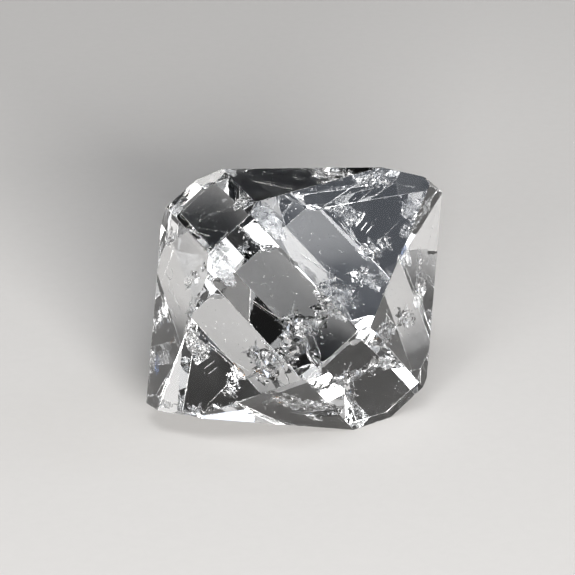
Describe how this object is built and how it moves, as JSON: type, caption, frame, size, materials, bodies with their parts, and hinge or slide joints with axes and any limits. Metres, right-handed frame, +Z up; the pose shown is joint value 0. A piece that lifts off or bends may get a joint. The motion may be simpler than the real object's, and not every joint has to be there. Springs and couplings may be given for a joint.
{
  "type": "doubly terminated quartz crystal",
  "caption": "Clear Herkimer diamond: a stubby quartz crystal with a natural point at each end, lying on one end face, for display as a loose mineral specimen.",
  "frame": {"origin": "centre of the bounding box at floor level, under the crystal as it lies on its end face", "axes": "+Z up from the floor, +X to the right in the picture, +Y away from the viewer; the crystal's long axis rises 38.21 degrees above the floor towards +X and turns 18.85 degrees from +X towards +Y"},
  "size_m": [0.0246, 0.0254, 0.0201],
  "materials": {
    "clear_quartz": "clear colourless natural quartz with bright growth faces"
  },
  "bodies": {
    "root": {"quartz_crystal": "clear_quartz"}
  },
  "joints": []
}
